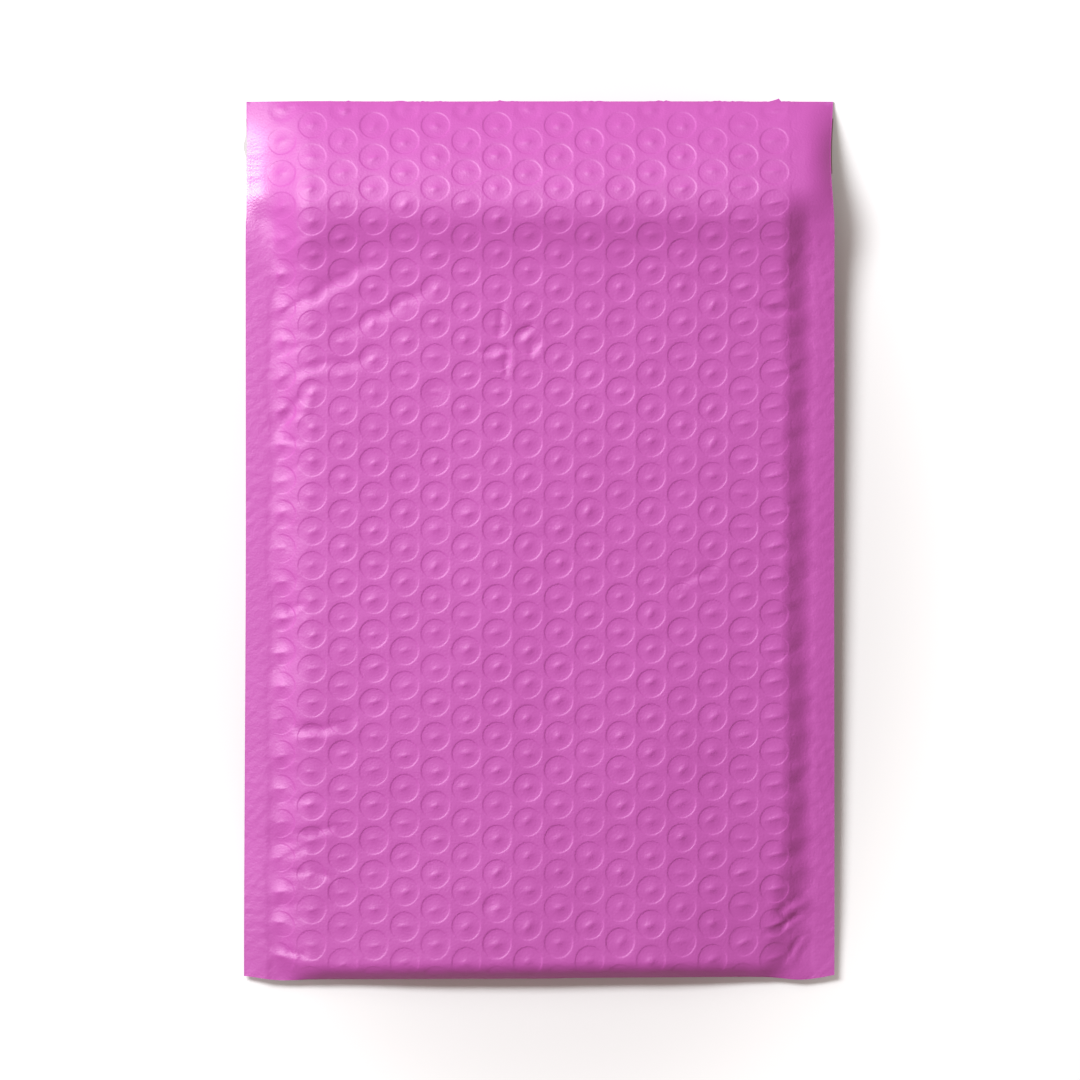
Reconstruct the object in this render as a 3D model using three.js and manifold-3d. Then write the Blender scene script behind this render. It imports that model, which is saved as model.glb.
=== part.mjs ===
// Padded poly mailer: a plastic film envelope lined with air bubbles, empty and unsealed.
// It lies face up on a table. The flap is open and bends down to the table, so it props up the mouth.
// Millimetres, +Z up, +Y from the bottom fold towards the flap. The origin is under the middle of the part.
import * as THREE from 'three';
import { mergeGeometries, mergeVertices } from 'three/addons/utils/BufferGeometryUtils.js';
import Module from 'manifold-3d';

const wasm = await Module();
wasm.setup();

// Envelope
const mailerWidth = 180; // over both side seals
const pouchLength = 230; // bottom fold to the edge of the back panel
const flapLength = 40; // edge of the back panel to the cut end of the flap, along the film
const wallThickness = 3.5; // outer film with its bubble lining
const sealWidth = 8; // heat seal along each side
const sealThickness = 0.6; // both walls, crushed and welded
const shoulderWidth = 7; // slope from a seal up to the padded panel
const foldRun = 5; // depth of the round bottom fold
const cornerRun = 75; // length over which a seal comes down to the table at the bottom corner
const sealDrop = 2; // seals below the line where the two walls meet
const bendRun = 4; // length of film on either side of the flap's bend that the bend rounds off

// Pouch opening
const foldGap = 2.6; // between the panels at the bottom fold
const mouthGap = 6.4; // between the panels at the mouth
const lipLift = 3; // back panel above the table at the mouth
const bellyRun = 30; // slope from the edge of the back panel to its flat middle
const lipSlant = 0.4; // lean of the back panel's cut edge
const mouthRelief = 0.3; // front lining's extra thickness at the mouth
const pocketOverrun = 1.5; // the pocket's cut past the mouth

// Bubbles that show through the film as shallow dishes
const bubbleDiameter = 8.8;
const bubbleDepth = 0.25;
const bubbleColumnGap = 0.61; // between the rims of neighbouring columns
const bubbleRowGap = 1.7; // between the rims of neighbours in a column
const bubbleColumnOffset = -3.9; // from the mailer's centre line to a column
const bubbleRowOffset = 10.4; // from the bottom fold to a row
const bubbleSides = 8;
const bubbleCutHeight = 1; // the dish cutter above the film
const bubbleMargin = 1; // film left between a dish and the cut end of the flap

// Closure under the flap
const closureSetback = 5.5; // cut end of the flap to the liner
const linerWidth = 18;
const linerThickness = 0.15;
const adhesiveWidth = 12;
const adhesiveThickness = 0.4;
const adhesiveInset = 6; // ends of the adhesive, in from the sides of the mailer
const contactGap = 0.05; // between pieces that are stuck together

// Facets
const shoulderSteps = 3;
const foldSteps = 3;
const weldTolerance = 1e-4;

// Values worked out from the dimensions above
const halfWidth = mailerWidth / 2;
const sealLine = halfWidth - sealWidth;
const panelEdge = sealLine - shoulderWidth;
const bellyEdge = panelEdge - bellyRun;
const foldTop = 2 * wallThickness + foldGap;
const foldMiddle = (foldTop - sealThickness) / 2;
const mouthTop = lipLift + 2 * wallThickness + mouthGap;
const frontSlope = (mouthTop - foldTop) / (pouchLength - foldRun);
const bubbleRadius = bubbleDiameter / 2;
const bubbleColumnPitch = bubbleDiameter + bubbleColumnGap;
const bubbleRowPitch = bubbleDiameter + bubbleRowGap;
const frontTop = (y) => foldTop + frontSlope * (y - foldRun);
const bellyAt = (y) => (lipLift * (y - foldRun)) / (pouchLength - foldRun);

// The seals rise from the bottom corners by a parabola, to their full height below the front panel.
const seamAt = (y) =>
  (1 - (1 - Math.min(y / cornerRun, 1)) ** 2) * (frontTop(y) - wallThickness - sealDrop);

// The flap leaves the front panel's line at the bend, and drops until the lower corner of its end
// meets the table.
const bend = { y: pouchLength + bendRun, z: frontTop(pouchLength + bendRun) };
const flapRun = flapLength - bendRun;
const flapAngle =
  Math.asin(bend.z / Math.hypot(flapRun, wallThickness)) - Math.atan2(wallThickness, flapRun);
const flapPoint = (distance) => ({
  y: bend.y + distance * Math.cos(flapAngle),
  z: bend.z - distance * Math.sin(flapAngle),
});
const planLength = flapPoint(flapRun).y;

// Solids and geometry

// A geometry with its positions only, shared vertices merged and collapsed triangles dropped.
function welded(geometry) {
  const bare = geometry.clone();
  for (const name of Object.keys(bare.attributes)) {
    if (name !== 'position') bare.deleteAttribute(name);
  }
  const merged = mergeVertices(bare, weldTolerance);
  const corners = merged.index.array;
  const kept = [];
  for (let i = 0; i < corners.length; i += 3) {
    const [a, b, c] = corners.slice(i, i + 3);
    if (a !== b && b !== c && c !== a) kept.push(a, b, c);
  }
  return merged.setIndex(kept);
}

// A closed, welded geometry as a solid for joining and cutting.
function solidFrom(geometry) {
  const triVerts = new Uint32Array(geometry.index.array);
  const vertProperties = new Float32Array(geometry.attributes.position.array);
  return new wasm.Manifold(new wasm.Mesh({ numProp: 3, vertProperties, triVerts }));
}

// A solid back as geometry with flat facets.
function geometryFrom(solid) {
  const mesh = solid.getMesh();
  const indexed = new THREE.BufferGeometry();
  indexed.setAttribute('position', new THREE.BufferAttribute(mesh.vertProperties, mesh.numProp));
  indexed.setIndex(new THREE.BufferAttribute(mesh.triVerts, 1));
  const faceted = indexed.toNonIndexed();
  faceted.computeVertexNormals();
  return faceted;
}

// A skin over closed sections that all have the same number of points, with both ends capped.
// Each section runs counter-clockwise when it is seen from the next one.
function loft(sections) {
  const count = sections[0].length;
  const positions = sections.flat().flatMap((p) => [p.x, p.y, p.z]);
  const index = [];
  for (let s = 0; s + 1 < sections.length; s++) {
    for (let i = 0; i < count; i++) {
      const a = s * count + i;
      const b = s * count + ((i + 1) % count);
      index.push(a, b, a + count, b, b + count, a + count);
    }
  }
  const capOf = (section) =>
    THREE.ShapeUtils.triangulateShape(section.map((p) => new THREE.Vector2(p.x, p.z)), []);
  const last = (sections.length - 1) * count;
  for (const [a, b, c] of capOf(sections[0])) index.push(a, b, c);
  for (const [a, b, c] of capOf(sections.at(-1))) index.push(last + a, last + c, last + b);
  const geometry = new THREE.BufferGeometry();
  geometry.setAttribute('position', new THREE.Float32BufferAttribute(positions, 3));
  geometry.setIndex(index);
  return geometry;
}

// Envelope

// One cross-section: the front from left to right, then the back from right to left.
// seam is the underside of the seals, top is the front panel, and side and belly are the back panel
// at its edge and in its middle.
function crossSection({ y, seam, top, side, belly, backShift = 0 }) {
  const shoulder = Array.from({ length: shoulderSteps + 1 }, (_, i) => {
    const t = i / shoulderSteps;
    return { x: sealLine - t * shoulderWidth, share: Math.sin((t * Math.PI) / 2) };
  });
  const weld = seam + sealThickness;
  const frontHalf = [
    { x: halfWidth, z: weld },
    ...shoulder.map(({ x, share }) => ({ x, z: weld + share * (top - weld) })),
  ];
  const backHalf = [
    { x: halfWidth, z: seam },
    ...shoulder.map(({ x, share }) => ({ x, z: seam + share * (side - seam) })),
    { x: bellyEdge, z: belly },
  ];
  const mirrored = (half) => half.map(({ x, z }) => ({ x: -x, z }));
  const front = [...mirrored(frontHalf), ...frontHalf.toReversed()];
  const back = [...backHalf, ...mirrored(backHalf).toReversed()];
  return [
    ...front.map((p) => new THREE.Vector3(p.x, y, p.z)),
    ...back.map((p) => new THREE.Vector3(p.x, y + backShift, p.z)),
  ];
}

// The round bottom fold, from its edge to the full height of the panels.
function foldSections() {
  return Array.from({ length: foldSteps + 1 }, (_, i) => {
    const turn = (i / foldSteps) * (Math.PI / 2);
    const y = foldRun * (1 - Math.cos(turn));
    const rise = Math.sin(turn);
    return crossSection({
      y,
      seam: seamAt(y),
      top: foldMiddle + sealThickness + rise * (foldTop - foldMiddle - sealThickness),
      side: foldMiddle + rise * (foldGap - foldMiddle),
      belly: foldMiddle * (1 - rise),
    });
  });
}

// The pouch between the fold and the mouth, where its two walls lie against each other at the shoulders.
function pouchSection(y) {
  const top = frontTop(y);
  return crossSection({
    y,
    seam: seamAt(y),
    top,
    side: top - 2 * wallThickness,
    belly: bellyAt(y),
  });
}

// The flap is one wall. Its underside is square to its slope, and hang is what is left of the seals' drop.
function flapSection({ y, z }, slope, hang) {
  const under = z - wallThickness * Math.cos(slope);
  return crossSection({
    y,
    seam: under - hang,
    top: z,
    side: under,
    belly: under,
    backShift: -wallThickness * Math.sin(slope),
  });
}

function outerShape() {
  const bendStart = { y: pouchLength + lipSlant, z: frontTop(pouchLength + lipSlant) };
  const bendEnd = flapPoint(bendRun);
  const bendMiddle = {
    y: (bendStart.y + 2 * bend.y + bendEnd.y) / 4,
    z: (bendStart.z + 2 * bend.z + bendEnd.z) / 4,
  };
  return loft([
    ...foldSections(),
    pouchSection(cornerRun / 2),
    pouchSection(cornerRun),
    pouchSection(pouchLength),
    flapSection(bendStart, 0, sealDrop),
    flapSection(bendMiddle, flapAngle / 2, sealDrop / 2),
    flapSection(bendEnd, flapAngle, 0),
    flapSection(flapPoint(flapRun), flapAngle, 0),
  ]);
}

// The space between the panels: a wedge that is widest at the mouth and closes at the sides.
function pocketShape() {
  const pocketSection = (y, relief) => {
    const ceiling = frontTop(y) - wallThickness - relief;
    const floor = bellyAt(y) + wallThickness;
    return [
      new THREE.Vector3(-panelEdge, y, ceiling),
      new THREE.Vector3(panelEdge, y, ceiling),
      new THREE.Vector3(bellyEdge, y, floor),
      new THREE.Vector3(-bellyEdge, y, floor),
    ];
  };
  return loft([
    pocketSection(foldRun, 0),
    pocketSection(pouchLength + lipSlant + pocketOverrun, mouthRelief),
  ]);
}

// The cutter for one dish, with its rim at the origin and its axis along Z.
function dishCutter() {
  const profile = [
    new THREE.Vector2(0, -bubbleDepth),
    new THREE.Vector2(bubbleRadius, 0),
    new THREE.Vector2(bubbleRadius, bubbleCutHeight),
    new THREE.Vector2(0, bubbleCutHeight),
  ];
  const turned = new THREE.LatheGeometry(profile, bubbleSides, Math.PI / bubbleSides);
  return welded(turned.rotateX(Math.PI / 2));
}

// Staggered columns of dishes over the front panel and the flap, where a whole dish fits.
function dishCutters() {
  const cutter = dishCutter();
  const cutters = [];
  const onPouch = new THREE.Matrix4().makeRotationX(Math.atan(frontSlope));
  const onFlap = new THREE.Matrix4().makeRotationX(-flapAngle);
  const reach = panelEdge - bubbleRadius;
  const firstColumn = Math.ceil((-reach - bubbleColumnOffset) / bubbleColumnPitch);
  const lastColumn = Math.floor((reach - bubbleColumnOffset) / bubbleColumnPitch);
  for (let column = firstColumn; column <= lastColumn; column++) {
    const x = bubbleColumnOffset + column * bubbleColumnPitch;
    const stagger = column % 2 === 0 ? bubbleRowPitch / 2 : 0;
    for (let along = bubbleRowOffset + stagger; ; along += bubbleRowPitch) {
      const past = along - bend.y;
      if (past + bubbleRadius + bubbleMargin > flapRun) break;
      const spot = past < 0 ? { y: along, z: frontTop(along) } : flapPoint(past);
      const turn = past < 0 ? onPouch : onFlap;
      const place = turn.clone().setPosition(x, spot.y, spot.z);
      cutters.push(cutter.clone().applyMatrix4(place));
    }
  }
  return mergeGeometries(cutters);
}

function envelopeGeometry() {
  const envelope = solidFrom(outerShape())
    .subtract(solidFrom(pocketShape()))
    .subtract(solidFrom(dishCutters()));
  return geometryFrom(envelope);
}

// Colours and finishes
const film = new THREE.MeshStandardMaterial({ color: 0xcd64b8, roughness: 0.42, metalness: 0 });
const glue = new THREE.MeshStandardMaterial({ color: 0xe6dcc0, roughness: 0.3, metalness: 0 });
const liner = new THREE.MeshStandardMaterial({ color: 0xdfe2dc, roughness: 0.5, metalness: 0 });

function part(name, geometry, material) {
  const mesh = new THREE.Mesh(geometry, material);
  mesh.name = name;
  return mesh;
}

// The adhesive and its peel-off liner, on the underside of the flap.
// In this group Y runs down the flap and Z is square to it.
function closure() {
  const group = new THREE.Group();
  const middle = flapRun - closureSetback - linerWidth / 2;
  const adhesiveLength = mailerWidth - 2 * adhesiveInset;
  const adhesive = part(
    'adhesive_strip',
    new THREE.BoxGeometry(adhesiveLength, adhesiveWidth, adhesiveThickness),
    glue,
  );
  const adhesiveTop = -wallThickness - contactGap;
  adhesive.position.set(0, middle, adhesiveTop - adhesiveThickness / 2);
  const release = part(
    'release_liner',
    new THREE.BoxGeometry(mailerWidth, linerWidth, linerThickness),
    liner,
  );
  const linerTop = adhesiveTop - adhesiveThickness - contactGap;
  release.position.set(0, middle, linerTop - linerThickness / 2);
  group.add(adhesive, release);
  group.position.set(0, bend.y, bend.z);
  group.rotation.x = -flapAngle;
  return group;
}

const mailer = new THREE.Group();
mailer.name = 'padded_mailer';
mailer.position.y = -planLength / 2;
mailer.add(part('envelope', envelopeGeometry(), film), closure());

export default mailer;
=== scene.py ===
import bpy
import numpy as np
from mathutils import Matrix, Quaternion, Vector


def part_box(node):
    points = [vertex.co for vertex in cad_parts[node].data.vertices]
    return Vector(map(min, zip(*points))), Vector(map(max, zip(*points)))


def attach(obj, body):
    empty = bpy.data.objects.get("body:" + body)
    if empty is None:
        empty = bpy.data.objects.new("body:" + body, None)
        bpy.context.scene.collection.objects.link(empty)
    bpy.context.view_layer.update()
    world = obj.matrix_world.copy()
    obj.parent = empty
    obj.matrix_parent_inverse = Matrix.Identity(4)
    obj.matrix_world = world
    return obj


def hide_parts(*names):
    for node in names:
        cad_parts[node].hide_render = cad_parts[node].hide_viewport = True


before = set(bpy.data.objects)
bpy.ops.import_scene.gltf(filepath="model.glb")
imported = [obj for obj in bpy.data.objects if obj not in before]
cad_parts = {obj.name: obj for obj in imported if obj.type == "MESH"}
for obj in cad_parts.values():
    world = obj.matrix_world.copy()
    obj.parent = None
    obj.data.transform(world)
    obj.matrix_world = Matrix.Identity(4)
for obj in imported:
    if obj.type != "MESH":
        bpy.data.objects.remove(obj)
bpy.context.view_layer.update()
mm = 0.001
draws = np.random.default_rng(11)
print("frame loaded:", ", ".join(sorted(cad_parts)))

boxLow, boxHigh = (np.array(corner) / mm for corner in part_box("envelope"))
halfWidth = (boxHigh[0] - boxLow[0]) / 2
foldY = boxLow[1]  # y below is measured from the bottom fold

# the padded envelope, in mm
mailer = dict(
    pouch=230.0,  # bottom fold to mouth
    flap=40.0,  # mouth to the end of the flap
    wall=3.5,  # film and bubble lining together
    weld=0.6,  # both walls where they are pressed flat and welded
    shoulder=(12.0, 8.8),  # slope from a seal up to the padding, left and right
    shoulderFoot=(81.9, 82.5),  # where it starts
    footWander=(0.9, 0.3),  # how far that line strays to either side
    strayWaves=((0.65, 53.0, 1.2), (0.35, 19.0, 0.0)),  # share, length and phase of its waves
    shoulderWiden=(0.15, 0.8),  # share by which it is wider at the bottom corners
    widenRun=50.0,  # it has its plain width from there on
    shoulderPower=(0.82, 1.0),  # below 1 it is steepest near the seal
    sealSag=(0.2, 0.4),  # how far the seals' outer edges hang down
    sagFrom=82.0,
    sagEase=25.0,  # run before the mouth over which they stop hanging
    flapShoulder=9.0,  # the same beside the flap, which isn't welded
    flapMix=0.8,  # share of that shoulder in the flap's
    flapThin=0.55,  # share of the padding that the flap loses there
    flapEase=14.0,  # run from the one to the other
    foldTop=9.6,  # height of the front just above the bottom fold
    foldTip=4.6,  # height of the fold's outermost line
    foldRun=6.0,  # how far the fold rounds over
    foldSteep=50.0,  # degrees, of the film just above its outermost line
    foldTurns=(0.12, 0.3),  # shares of its length where that stretch starts and ends
    foldEase=22.0,  # run over which the seals take up the fold's rounding
    foldPush=(1.15, 0.45),  # how far the padding pushes the fold out, left and right of its middle
    pushTurn=70.0,  # where it has reached the one and the other
    pushRun=14.0,
    tuck=(1.3, 1.2),  # how far the fold's ends stand out below the seals
    tuckPlace=80.0,
    tuckSize=(7.0, 10.0),  # across and along
    tuckRound=(0.0, 0.3),  # how far the corners draw back from there, left and right
    tuckRoundFrom=86.0,
    tuckRoundRun=4.0,
    pinch=(0.25, 0.42),  # share of its height that the mailer loses at the ends of the fold
    pinchRun=(60.0, 50.0),
    pinchFrom=30.0,  # from the middle line
    pinchEase=50.0,
    cornerSag=(1.8, 0.0),  # how much further the seals' outer edges hang down at the bottom corners
    cornerSagRun=130.0,
    cornerSagFrom=83.0,  # outside the pocket
    cornerSagPower=1.3,
    mouthTop=15.2,  # height of the front at the mouth
    dome=1.9,  # how far the front falls from its middle line to its shoulders
    domeEdge=73.0,  # where it has fallen that far
    domeRun=45.0,  # from the fold to the full dome
    domeEnd=0.45,  # share of it at the flap's end
    cornerLift=4.0,  # of the bottom corners above the table
    cornerRun=75.0,  # the seals come down to there over this run
    flare=(0.7, 0.2),  # how far the seals stand out further at the bottom corners
    flareRun=150.0,
    flareFrom=50.0,  # from the middle line
    flareEase=40.0,
    bend=6.0,  # rounding between pouch and flap, to each side
    crest=2.0,  # extra lift at the mouth
    crestRun=8.0,  # over which it fades into the pouch
    crestSet=3.0,  # how far the crest lies before the mouth
    crestBow=7.0,  # how far the crest's left end lies down the pouch
    crestBowFrom=50.0,
    crestBowEase=30.0,
    crestLoss=0.85,  # share of its lift that the left end lacks
    leftFrom=70.0,  # where the left edge's own forms start
    leftEase=16.0,
    endLift=0.8,  # of the middle of the flap's end above the table
    leftDip=1.8,  # how far the left edge hangs down at the mouth
    dipStart=14.0,  # before the mouth
    dipRun=28.0,
    dipReturn=12.0,  # past the mouth
    dipShare=0.5,  # share of the dip that is gone at the flap's end
    rollLeft=(0.6, 12.0),  # how far the flap's side edges roll down, over which width
    rollRight=(2.4, 10.0),
    humpLeft=((5.0, 12.0), (-2.0, 13.0)),  # start and run of the left roll, from the mouth and from the end
    humpRight=(4.0, 10.0),  # start of the right roll before the mouth, and its extra length
    rollDraw=0.44,  # how far a rolled edge draws in, for each mm that it rolls
    bellyEdge=45.0,  # half the width of the back panel that lies flat
    bellyRun=30.0,  # rise from there to the shoulder
    lipLift=3.0,  # of the back panel at the mouth
    pocketEdge=82.5,  # half the pocket's width
    pocketTip=3.9,  # the pocket's inner fold
    pocketRound=(-0.7, 0.0, 0.7),  # heights on the inner fold, as shares of half the gap
    pocketLean=0.5,  # how far it draws back for each of them
    pocketGap=0.2,  # between the walls where they lie on each other
    pocketEase=18.0,  # run over which it opens from the sides
    pocketRows=32,
    tautEdge=11.0,  # width of the smooth film on the flap's left edge
    tautEase=10.0,
    tableGap=(0.1, 0.05, 0.03),  # least height above the table of weld, flap and strips
)

# the bubble lattice: columns across, rows along the film, neighbouring columns half a row apart
bubbles = dict(
    columns=18,
    firstColumn=-79.05,
    columnPitch=9.413,
    rowPitch=10.515,
    start=1.5,  # along the film from the fold's outermost line
    rise=0.98,  # how far the rows have slid up the film
    slant=0.0073,  # and how far more for each mm to the right
    driftRun=10.0,  # from the fold to the full slide
    driftFlap=0.9,  # share of it that the flap loses
    driftFade=(8.0, 28.0),  # starting before the mouth, over which run
    driftEnd=6.0,  # run before the flap's end over which it is lost
    steps=12,  # grid steps across one bubble
    ovals=(0, 0.7, 1.4),  # inner rings of the grid, in half axes of the nub
    rings=(3.98, 4.3, 4.62),  # outer rings of the grid, in mm
    backRings=(0, 4.3, 4.57),
    leftStrip=6,  # plain grid columns beside the lattice
    rightStrip=6,
    edges=(81.5, 78.5),  # where the dishes have faded out, left and right
    nubEdges=(83.5, 79.0),  # and the nubs
    fades=dict(edges=4.0, nubEdges=2.0),  # over which run
    edgeFlap=4.0,  # how much further left they reach on the flap
    foldFade=(3.0, 5.0),  # start and run of the fade above the fold's outermost line
    endFade=3.0,  # run of the fade at the flap's end
    depth=0.14,
    bowl=0.1,
    dishSizes=(0.75, 1.25),
    cutRim=1.8,  # width of the rims in the row that the flap's end cuts
    seam=0.03,  # fine ridge between columns
    seamWidth=0.25,
    seamStart=3.0,  # it fades in over one of this many parts of a column
)

# the nub in the middle of each dish, in mm and degrees
nubs = dict(
    height=0.29,  # for each mm of its width
    length=1.5,
    width=1.1,
    turn=18.0,
    turnSpread=18.0,
    sizes=(0.8, 1.25),
    lengths=(0.8, 1.2),
    widths=(0.85, 1.1),
    shift=0.3,  # how far it strays from the middle
    shiftMost=0.5,
    rows=28,
    rightColumns=(13.5, 2.5),  # the far right starts at this column, over this many
    rightLength=1.5,
    rightGrow=0.2,
    leftColumns=(8.0, 6.0),  # the lower left ends at this column, over this many
    leftRows=(15.0, 8.0),
    slim=0.3,  # share of the width which the nubs at the lower left and far right lose
    calm=0.7,  # and of their turn
)

lineSteps = dict(fold=80, panel=200, bend=24, flap=80)
slope = (mailer["mouthTop"] - mailer["foldTop"]) / (mailer["pouch"] - mailer["foldRun"])
padding = mailer["wall"] - mailer["weld"]
latticeLeft = bubbles["firstColumn"] - bubbles["columnPitch"] / 2
latticeRight = latticeLeft + bubbles["columns"] * bubbles["columnPitch"]


def ease(t):
    # three t squared less two t cubed, from 0 to 1 and level at both ends
    t = np.clip(t, 0, 1)
    return t * t * (3 - 2 * t)


def bell(distance, width):
    # e to the minus square of distance over width
    return np.exp(-((distance / width) ** 2))


def frontTop(y):
    # straight rise from the fold to the mouth
    return mailer["foldTop"] + slope * (y - mailer["foldRun"])


def backLow(y):
    # straight rise of the back panel's middle, from the table to the lip
    return mailer["lipLift"] * (y - mailer["foldRun"]) / (mailer["pouch"] - mailer["foldRun"])


def measured(y, z):
    # a line in the y-z plane, told by its own length: summed chords, and the slope turned a quarter
    # as its normal
    s = np.concatenate([[0], np.cumsum(np.hypot(np.diff(y), np.diff(z)))])
    return dict(s=s, y=y, z=z, ny=-np.gradient(z, s), nz=np.gradient(y, s))


def follow(line, s):
    # straight mix of the line's two nearest points: place and normal at the length s
    return [np.interp(s, line["s"], line[key]) for key in ("y", "z", "ny", "nz")]


def foldCurve(top):
    # the film's angle over its length, from plumb at its outermost line to steep and then to level,
    # is summed up and scaled to the fold's run and to the height top
    t = np.linspace(0, 1, lineSteps["fold"])
    steep, (first, last) = mailer["foldSteep"], mailer["foldTurns"]
    angle = np.radians(90 - (90 - steep) * ease(t / first) - steep * ease((t - last) / (1 - last)))
    y, z = np.cumsum(np.cos(angle)), np.cumsum(np.sin(angle))
    y, z = (y - y[0]) / (y[-1] - y[0]), (z - z[0]) / (z[-1] - z[0])
    return mailer["foldRun"] * y, mailer["foldTip"] + (top - mailer["foldTip"]) * z


def frontLine():
    # fold, straight slab, parabola over the bend, and a straight flap whose underside ends on the table
    bend, wall, pouch = mailer["bend"], mailer["wall"], mailer["pouch"]
    foldYs, foldZs = foldCurve(mailer["foldTop"])
    slabY = np.linspace(mailer["foldRun"], pouch, lineSteps["panel"])[1:]
    cornerY, cornerZ = pouch + bend, frontTop(pouch + bend)
    run = mailer["flap"] - bend
    tilt = np.arcsin(cornerZ / np.hypot(run, wall)) - np.arctan2(wall, run)
    t = np.linspace(0, 1, lineSteps["bend"])[1:]
    near, middle, far = (1 - t) ** 2, 2 * t * (1 - t), t**2
    bendY = near * pouch + middle * cornerY + far * (cornerY + bend * np.cos(tilt))
    bendZ = near * frontTop(pouch) + middle * cornerZ + far * (cornerZ - bend * np.sin(tilt))
    d = np.linspace(bend, run, lineSteps["flap"])[1:]
    y = np.concatenate([foldYs, slabY, bendY, cornerY + d * np.cos(tilt)])
    z = np.concatenate([foldZs, frontTop(slabY), bendZ, cornerZ - d * np.sin(tilt)])
    return measured(y, z)


def backLine():
    # the fold's lower quarter, then straight to the lip
    foldYs, foldZs = foldCurve(0.0)
    panelY = np.linspace(mailer["foldRun"], mailer["pouch"], lineSteps["panel"])[1:]
    return measured(np.concatenate([foldYs, panelY]), np.concatenate([foldZs, backLow(panelY)]))


frontPath, backPath = frontLine(), backLine()
mouthS = np.interp(mailer["pouch"], frontPath["y"], frontPath["s"])
endS = frontPath["s"][-1]


def sided(u, key):
    # the left one of the mailer's two values up to the middle line, and the right one beyond it
    return np.where(u < 0, *mailer[key])


def leftShare(u):
    # 1 along the left edge, 0 from the padding on
    return ease((-u - mailer["leftFrom"]) / mailer["leftEase"])


def crestLift(u, s):
    # before the mouth e to the distance over the run, and after it the parabola that carries on at the same
    # slope and comes down to the end's lift; at the left the crest lies further down the pouch and is low
    length = endS - mouthS
    bow = mailer["crestBow"] * ease((-u - mailer["crestBowFrom"]) / mailer["crestBowEase"])
    q = s - mouthS + mailer["crestSet"] + bow * (1 - ease((s - mouthS) / length))
    crest = mailer["crest"] * (1 - mailer["crestLoss"] * leftShare(u))
    start = crest / mailer["crestRun"]
    curve = (mailer["endLift"] - crest - start * length) / length**2
    before = crest * np.exp(np.minimum(q, 0) / mailer["crestRun"])
    return np.where(q < 0, before, crest + start * q + curve * q**2)


def leftDip(u, s):
    # eased down towards the mouth beside the left edge, and part of the way back in proportion along the flap
    past = mouthS + mailer["dipReturn"]
    back = mailer["dipShare"] * np.clip((s - past) / (endS - past), 0, 1)
    down = ease((s - mouthS + mailer["dipStart"]) / mailer["dipRun"])
    return mailer["leftDip"] * leftShare(u) * down * (1 - back)


def domeDrop(u, s):
    # square of the distance from the middle line, growing from the fold and easing off along the flap
    along = ease(s / mailer["domeRun"])
    along = along * (1 - (1 - mailer["domeEnd"]) * ease((s - mouthS) / (endS - mouthS)))
    return mailer["dome"] * along * (u / mailer["domeEdge"]) ** 2


def footLine(u, s):
    # where the shoulder starts, straying along the film as the sum of two sines
    sines = mailer["strayWaves"]
    stray = sum(share * np.sin(2 * np.pi * s / length + phase) for share, length, phase in sines)
    return sided(u, "shoulderFoot") - sided(u, "footWander") * stray


def shoulderShare(u, s):
    # eased rise from the seal up to the padding, mixed beside the flap with a quarter sine from the edge
    run, power = (sided(u, key) for key in ("shoulder", "shoulderPower"))
    widen = sided(u, "shoulderWiden") * (1 - ease(s / mailer["widenRun"]))
    run = run * (1 + widen)
    pouchShare = ease(np.clip((footLine(u, s) - np.abs(u)) / run, 0, 1) ** power)
    flapShare = np.sin(np.pi / 2 * np.clip((halfWidth - np.abs(u)) / mailer["flapShoulder"], 0, 1))
    return pouchShare + (flapShare - pouchShare) * mailer["flapMix"] * ease((s - mouthS) / mailer["flapEase"])


def cornerRamp(y):
    # 0 at the bottom corners, 1 where the seals have their full height
    return 1 - (1 - np.clip(y / mailer["cornerRun"], 0, 1)) ** 2


def edgeShare(u, start):
    # 0 up to the line start, then in proportion up to 1 at the mailer's side
    return np.clip((np.abs(u) - start) / (halfWidth - start), 0, 1)


def sealPlace(u, s, y, z, ny, nz):
    # where the weld's top runs: the padded line less the padding, brought down at the corners, and hanging
    # by powers of the distance into the edge strip
    toFold = 1 - ease((s - mailer["foldRun"]) / mailer["foldEase"])
    thin = padding * (1 - (1 - mailer["flapThin"]) * ease((s - mouthS) / mailer["flapEase"]))
    onFlap = s > mouthS
    setBack = ny * thin * (1 - ease((s - mouthS) / (endS - mouthS)))  # the flap's end stays straight
    sealY = np.where(onFlap, y - setBack, y + (s - y) * toFold)
    sag = sided(u, "sealSag") * edgeShare(u, mailer["sagFrom"]) ** 2
    sag = sag * (1 - ease((s - mouthS + mailer["sagEase"]) / mailer["sagEase"]))
    full = frontTop(sealY) - padding - mailer["weld"] - domeDrop(u, s) - sag
    ramp = cornerRamp(sealY)
    hang = edgeShare(u, mailer["cornerSagFrom"]) ** mailer["cornerSagPower"]
    hang = hang * (1 - ease(s / mailer["cornerSagRun"]))
    weldTop = mailer["weld"] + mailer["cornerLift"] * (1 - ramp) + ramp * full
    weldTop = weldTop - sided(u, "cornerSag") * hang
    return sealY, np.where(onFlap, z - nz * thin - domeDrop(u, s), weldTop)


def flapHump(u, s):
    # along the flap's left edge an eased rise and fall, along its right edge a squared sine
    (riseStart, riseRun), (fallStart, fallRun) = mailer["humpLeft"]
    left = ease((s - mouthS + riseStart) / riseRun) * ease((endS + fallStart - s) / fallRun)
    start, longer = mailer["humpRight"]
    right = np.sin(np.pi * np.clip((s - mouthS + start) / (endS - mouthS + longer), 0, 1)) ** 2
    return np.where(u < 0, left, right)


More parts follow.
